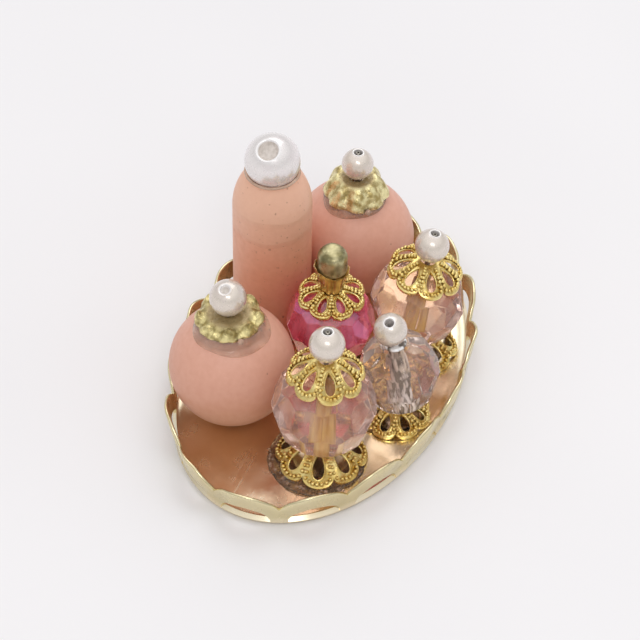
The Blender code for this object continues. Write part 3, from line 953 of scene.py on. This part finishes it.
def open_bore(shape, bore):
    """Replaces a bead's two flat ends with rings round a through bore."""

    def end_face(side):
        return max(shape.faces, key=lambda face: side * face.calc_center_median().z)

    for side in (-1, 1):
        bmesh.ops.subdivide_edges(shape, edges=end_face(side).edges[:], cuts=1)
    rings = []
    for side in (-1, 1):
        end = end_face(side)
        corners = sorted(end.verts, key=lambda vertex: math.atan2(vertex.co.y, vertex.co.x))
        bmesh.ops.delete(shape, geom=[end], context="FACES_ONLY")
        angles = [math.degrees(math.atan2(c.co.y, c.co.x)) for c in corners]
        ring = [shape.verts.new(polar(bore, angle, corners[0].co.z)) for angle in angles]
        bridge(shape, corners, ring)
        rings.append(ring)
    lower, upper = rings
    start = min(range(len(upper)), key=lambda i: (upper[i].co.xy - lower[0].co.xy).length)
    for wall in bridge(shape, lower, upper[start:] + upper[:start]):
        wall.material_index = 1
        wall.smooth = True


def add_cut_bead(node, axis, glass, lining, bore=BEAD_BORE):
    low, high, reach = extent(node, axis)
    bead = cut_bead(reach, (high - low) / 2, bore)
    add_piece(node, bead, [glass, lining], axis, (low + high) / 2, flat=True)


# Pins and glue


def pin(low, high, reach):
    """A wire with a hollow tip, and with a head where the CAD pin has one."""
    profile = [(0, low)]
    if reach > PIN_RADIUS * 1.5:
        profile += [(reach, low), (reach, low + 0.12), (PIN_RADIUS, low + 0.15)]
    else:
        profile += [(PIN_RADIUS, low)]
    tip = [(PIN_RADIUS, high - 0.05), (0.15, high), (0.1, high), (0.09, high - 0.12), (0, high - 0.15)]
    return turned(profile + tip, 24, bored=False)


def add_bubble(shape, spot, size, finish_index=0):
    """A ball joined to a glue shape, in the piece's finish of that index."""
    grow = Matrix.Translation(spot) @ Matrix.Scale(size, 4)
    ball = bmesh.ops.create_uvsphere(shape, u_segments=24, v_segments=12, radius=1, matrix=grow)
    for vertex in ball["verts"]:
        for face in vertex.link_faces:
            face.material_index = finish_index


def add_film(node, ball_node, cap_node, axis, reach, extra, toward, seed):
    """Glue over a ball's crown, with a bubble by the cap. It runs extra further one way."""
    ball = ball_radius(ball_node)
    cap_low, _, cap_reach = extent(cap_node, axis)
    thickness, edge_bead, bubble = 0.05, 0.05, 0.24
    rows, columns = 20, 96
    outer, inner = ([[] for _ in range(rows + 1)] for _ in range(2))
    first = math.asin(CAP_HOLE / ball)
    for column in range(columns):
        degrees = 360 * column / columns
        pull = cos(radians(degrees - toward))
        edge = reach + extra * pull * abs(pull) + 0.14 * waver(degrees, 0, 1.4, seed)
        last = math.asin(edge / ball)
        for row in range(rows + 1):
            share = row / rows
            angle = first + (last - first) * share
            out = ball * sin(angle)
            under_cap = max(cap_low - ball * cos(angle) - 0.05, 0)
            fill = under_cap * (1 - eased(out, cap_reach - 0.5, cap_reach + 0.1))
            bead = edge_bead * math.exp(-(((share - 0.95) / 0.05) ** 2))
            film = thickness + 0.03 * waver(degrees, share * 3, 1.5, seed + 5) + bead + fill
            film *= 1 - share**30 * 0.85
            for skin, lift in ((outer, 0.02 + max(film, 0.02)), (inner, 0.015)):
                size = ball + lift
                skin[row].append(polar(size * sin(angle), degrees, size * cos(angle)))
    shape = sheet(outer, inner)
    add_bubble(shape, Vector(polar(cap_reach + 0.05, FRONT + 20, cap_low + 0.1)), bubble)
    add_piece(node, shape, [GREY_GLUE], axis)


def add_ball_fillet(node, ball_node, seed):
    """Glue that fills the gap between a ball and the tray's floor."""
    axis = ground_under(ball_node)
    ball, middle = ball_radius(ball_node), centre_of(ball_node).z / MM
    floor, _, reach = extent(node, axis)

    def uneven(degrees, radius, height):
        return radius * (1 + 0.09 * waver(degrees, 0, 1.3, seed)), height

    def under_ball(radius):
        return middle - math.sqrt(ball**2 - radius**2) - 0.02

    underside = [(0.9, floor), (reach, floor), (reach * 0.98, floor + 0.06)]
    topside = [(radius, under_ball(radius)) for radius in (1.75, 1.55, 1.3, 1.1)]
    add_piece(node, turned(underside + topside, 64, wobble=uneven), [GLUE], axis)


def add_glue_pad(node, axis, seed):
    """A low, slightly uneven button of glue under a foot."""
    low, high, reach = extent(node, axis)

    def uneven(degrees, radius, height):
        return radius * (1 + 0.06 * waver(degrees, 0, 1.3, seed)), height

    side = arc((reach * 0.86, low), reach * 0.14, 0, 90, 5)
    crown = [(reach * share, low + (high - low) * (1 - 0.5 * share)) for share in (0.7, 0.4)]
    pad = turned([(0, low), *side, *crown, (0, high)], 48, bored=False, wobble=uneven)
    add_piece(node, pad, [GLUE], axis)


def add_puddle(node, foot_node, seed, bubbles=30):
    """The clear glue that has run out round a foot, further on its left side, with bubbles there."""
    axis = ground_under(foot_node)
    low, high, reach = extent(node, axis)
    _, _, foot = extent(foot_node, axis)

    def uneven(degrees, radius, height):
        out = max(radius - foot * 0.8, 0) / (reach - foot * 0.8)
        run = 0.3 * waver(degrees, 0, 2.2, seed) + 0.12 * waver(degrees, 0, 6, seed)
        side = 0.5 * cos(radians(degrees - FRONT + 50)) - 0.35
        lift = 0.07 * waver(degrees, radius, 2.3, seed + 3) * (height > low + 0.01)
        return radius + out * (run + side), height + lift

    shore = 0.16  # how far the puddle's top is below the glue inside the foot
    profile = [(foot * 0.62, low), (foot * 0.9, low), (reach, low)]
    profile += arc((reach - 0.12, low), 0.14, 10, 80, 4)
    profile += [(foot, high - shore), (foot * 0.95, high - 0.1), (foot * 0.85, high - 0.05)]
    profile += [(foot * 0.75, high - 0.1)]
    shape = turned(profile, 160, wobble=uneven)
    chance = random.Random(seed)
    for _ in range(bubbles):
        share = chance.uniform(0.1, 1)
        size = chance.uniform(0.06, 0.15)
        surface = (high - shore) * (1 - share) + (low + 0.14) * share
        direction = FRONT + chance.uniform(-100, 25)
        spot = polar(foot + (reach - foot) * share, direction, surface + size * 0.3)
        add_bubble(shape, Vector(spot), size, 1)
    add_piece(node, shape, [PUDDLE_GLUE, GREY_GLUE], axis)


# Bottles


def tall_tube(low, high, reach):
    """A tube with a rounded foot, a domed shoulder and a short neck that widens inside."""
    bore, neck, rounding = 0.7, 2.02, 0.3
    shoulder_low, bend = high - 3.2, 5.2
    wall_low, steps = low + rounding, 20
    foot = arc((reach - rounding, wall_low), rounding, -90, 0, 5)
    wall = [(reach, wall_low + (shoulder_low - wall_low) * i / steps) for i in range(1, steps + 1)]
    slope = math.degrees(math.acos(1 - (reach - neck - 0.1) / bend))
    shoulder = arc((reach - bend, shoulder_low), bend, 0, slope, 14)[1:]
    lip = [(neck, shoulder[-1][1] + 0.2), (neck, high - 0.1), (neck - 0.06, high), (1.9, high)]
    seat = [(1.25, high - 0.75), (bore, high - 1.3)]
    return turned([(bore, low), *foot, *wall, *shoulder, *lip, *seat], 96)


def uneven_glue(degrees, radius, height):
    rise = 0.05 * waver(degrees, 0, 1.8, 8)
    return radius + 0.05 * waver(degrees, height, 2.2, 4), height + rise


def neck_ring(low, high, reach):
    centre = (reach - 0.13, (low + high) / 2 - 0.02)
    return turned(arc(centre, 0.12, 0, 330, 11), 72, wobble=uneven_glue)


def tube_fillet(low, high, reach):
    """Glue that runs up from the tray's floor to the tube's foot in a hollow curve."""
    hollow = arc((reach + 0.02, high + 0.02), 0.33, 250, 190, 4)
    return turned([(reach - 0.33, low), (reach, low), *hollow], 72, wobble=uneven_glue)


def add_tall_bottle():
    """A speckled peach tube under a big pearl tipped to the front."""
    axis = axis_through("tall_bottle_body", "tall_bottle_stopper")
    add_drawn("tall_bottle_body", tall_tube, SPECKLED_PEACH, axis)
    tip = (28, FRONT - 20)
    add_pearl("tall_bottle_stopper", axis, 0.78, tip, blind=0.2, finish=BIG_PEARL, lip=0.13)
    add_drawn("tall_bottle_neck_glue", neck_ring, NECK_GLUE, axis)
    add_drawn("tall_bottle_base_glue", tube_fillet, GLUE, axis)


def add_ball_bottle(name, cap_finish, dish, lump, film, seed, **pearl):
    """A ball bead under a wavy cap and a pearl. film is the glue's (reach, extra reach, side)."""
    axis = axis_through(name + "_body", name + "_stopper")
    add_ball(name + "_body", axis, PEACH)
    add_wavy_cap(name + "_cap", axis, dish, lump, cap_finish, seed)
    add_film(name + "_cap_glue", name + "_body", name + "_cap", axis, *film, seed)
    add_pearl(name + "_stopper", axis, **pearl)
    add_drawn(name + "_pin", pin, STEEL, axis)
    add_ball_fillet(name + "_base_glue", name + "_body", seed)


def fluted_cone(low, high, reach):
    """A tapered bead with twelve shallow flutes, whose rim stands up on the left side."""

    def fluted(degrees, radius, height):
        left_rim = max(0, cos(radians(degrees - FRONT + 80))) * (height > high - 0.05)
        flute = 1 + 0.025 * cos(radians(degrees * 12))
        return radius * flute * (1 + 0.06 * left_rim), height + 0.5 * left_rim

    steps = 8
    sides = [(0.72 + 0.4 * i / steps, i / steps) for i in range(steps + 1)]
    sides = [(reach * out, low + (high - low) * up) for out, up in sides]
    mouth = [(reach * 1.08, high), (reach - 0.04, high - 0.1), (PEARL_HOLE, high - 0.1)]
    return turned([(PEARL_HOLE, low), *sides, *mouth], 72, wobble=fluted)


def bullet_finial(low, high, reach):
    """A blunt, slightly hammered bullet with a blind hole from below."""

    def hammered(degrees, radius, height):
        rise = 0.1 * waver(degrees, 0, radius, 2)
        return radius * (1 + 0.04 * waver(degrees, height, 1.1, 6)), height + rise

    height = high - low
    profile = [(0, low + height * 0.5), (PEARL_HOLE, low + height * 0.5), (PEARL_HOLE, low)]
    profile += [(reach * 0.9, low), (reach * 0.95, low + 0.05), (reach * 0.97, low + height * 0.25)]
    steps, bluntness = 12, 0.36
    for i in range(1, steps):
        angle = radians(90 * i / steps)
        radius = reach * 0.95 * cos(angle) ** bluntness
        profile.append((radius, low + height * (0.6 + 0.38 * sin(angle))))
    profile.append((0, low + height * 0.98))
    return turned(profile, 56, bored=False, wobble=hammered)


def add_rose_bottle():
    """A hot pink faceted bead under a golden cone and a grey-gold finial."""
    axis = axis_through("rose_bottle_body", "rose_bottle_stopper_finial")
    ground = ground_under("rose_bottle_foot")
    add_filigree("rose_bottle_foot", ground, FRONT)
    add_glue_pad("rose_bottle_base_glue", ground, 3)
    add_cut_bead("rose_bottle_body", axis, ROSE_GLASS, BORE_AMBER)
    add_filigree("rose_bottle_collar", axis, FRONT + 22)
    add_drawn("rose_bottle_stopper_cone", fluted_cone, AMBER, axis)
    add_drawn("rose_bottle_stopper_finial", bullet_finial, FINIAL_BRASS, axis)
    add_drawn("rose_bottle_pin", pin, STEEL, axis)


def add_clear_bottle(name):
    """A pale pink faceted bead between a filigree foot and collar, under a pearl."""
    axis = axis_through(name + "_body", name + "_stopper")
    ground = ground_under(name + "_foot")
    add_filigree(name + "_foot", ground, FRONT - 5)
    add_cut_bead(name + "_body", axis, PINK_GLASS, BORE_AMBER)
    add_filigree(name + "_collar", axis, FRONT + 8)
    add_pearl(name + "_stopper", axis)
    add_drawn(name + "_pin", pin, STEEL, axis)


def twisted_liner(low, high, reach):
    """A silver tube with four soft twisted ribs."""
    ribs, rib_depth, bore, steps = 4, 0.08, 0.28, 40

    def ribbed(degrees, radius, height):
        twist = 60 * (height - low)
        wave = cos(radians(ribs * degrees + twist))
        return radius * (1 + rib_depth * wave), height

    outside = [(reach * 0.92, low + (high - low) * i / steps) for i in range(steps + 1)]
    return turned([*outside, (bore, high), (bore, low)], 64, wobble=ribbed)


def crimp(low, high, reach):
    """A small ring with a rounded side."""
    half = (high - low) / 2
    return turned([(0.4, low), *arc((reach - half, low + half), half, -90, 90, 8), (0.4, high)], 48)


def add_crystal_bottle():
    """A clear faceted bead on a small filigree foot, with a silver tube in its bore."""
    axis = axis_through("crystal_bottle_body", "crystal_bottle_crimp")
    ground = ground_under("crystal_bottle_foot")
    add_filigree("crystal_bottle_foot", ground, FRONT - 22.5)
    add_glue_pad("crystal_bottle_base_glue", ground, 5)
    add_cut_bead("crystal_bottle_body", axis, CRYSTAL, SILVER, bore=CRYSTAL_BORE)
    add_drawn("crystal_bottle_liner", twisted_liner, SILVER, axis)
    add_drawn("crystal_bottle_crimp", crimp, SILVER, axis)
    add_pearl("crystal_bottle_stopper", axis, tilt=(15, FRONT))
    add_drawn("crystal_bottle_pin", pin, STEEL, axis)


# Stage


def add_floor():
    shape = bmesh.new()
    bmesh.ops.create_grid(shape, x_segments=8, y_segments=8, size=FLOOR_HALF)
    mesh = bpy.data.meshes.new("floor")
    shape.to_mesh(mesh)
    shape.free()
    mesh.materials.append(floor_paper())
    floor = new_object("floor", mesh)
    floor.location.z = cad_box[0][2] - FLOOR_GAP * MM


def add_softbox(name, azimuth, elevation, distance, size, power):
    """A rectangular soft light that faces the object, azimuth in degrees round from +X."""
    lamp = bpy.data.lights.new(name, "AREA")
    lamp.shape = "RECTANGLE"
    lamp.size, lamp.size_y = size
    lamp.energy = power
    box = new_object(name, lamp)
    rise = radians(elevation)
    spot = Vector(polar(cos(rise), azimuth, sin(rise)))
    box.location = spot * distance
    box.rotation_euler = spot.to_track_quat("Z", "Y").to_euler()


def set_world():
    """A pale studio: light at floor level, greyer walls above it and a bright ceiling."""
    world = bpy.data.worlds.new("studio")
    bpy.context.scene.world = world
    world.use_nodes = True
    tree = world.node_tree
    background = tree.nodes["Background"]
    way = tree.nodes.new("ShaderNodeTexCoord").outputs["Generated"]
    parts = tree.nodes.new("ShaderNodeSeparateXYZ")
    tree.links.new(way, parts.inputs[0])
    ramp = tree.nodes.new("ShaderNodeValToRGB")
    stops = ramp.color_ramp.elements
    while len(stops) < len(WORLD_LEVELS):
        stops.new(0.5)
    for stop, (height, level) in zip(stops, WORLD_LEVELS):
        stop.position = height
        stop.color = (level, level, level * 1.01, 1)
    tree.links.new(parts.outputs["Z"], ramp.inputs[0])
    tree.links.new(ramp.outputs[0], background.inputs["Color"])
    background.inputs["Strength"].default_value = WORLD_STRENGTH


def add_camera():
    lens = bpy.data.cameras.new("camera")
    lens.lens = CAMERA_LENS
    lens.clip_start = 0.01
    camera = new_object("camera", lens)
    tip = radians(CAMERA_ELEVATION)
    back = Vector(polar(cos(tip), FRONT, sin(tip)))
    camera.location = Vector(CAMERA_TARGET) * MM + back * CAMERA_DISTANCE
    camera.rotation_euler = back.to_track_quat("Z", "Y").to_euler()
    bpy.context.scene.camera = camera


add_tray()
add_tall_bottle()
add_ball_bottle("back_ball", BACK_BRASS, 1.5, 0.16, (2.5, 0.25, FRONT - 45), 11)
add_ball_bottle(
    "front_ball", FRONT_BRASS, 1.7, 0.4, (2.95, 0.25, FRONT + 40), 23,
    tilt=(20, FRONT - 20), blind=0.12, lip=0.14,
)
add_rose_bottle()
add_clear_bottle("front_clear")
add_puddle("front_clear_base_glue", "front_clear_foot", 31)
add_clear_bottle("right_clear")
add_glue_pad("right_clear_base_glue", ground_under("right_clear_foot"), 7)
add_crystal_bottle()

add_floor()
for softbox in SOFTBOXES:
    add_softbox(*softbox)
set_world()
add_camera()
bpy.context.scene.view_settings.view_transform = "Standard"
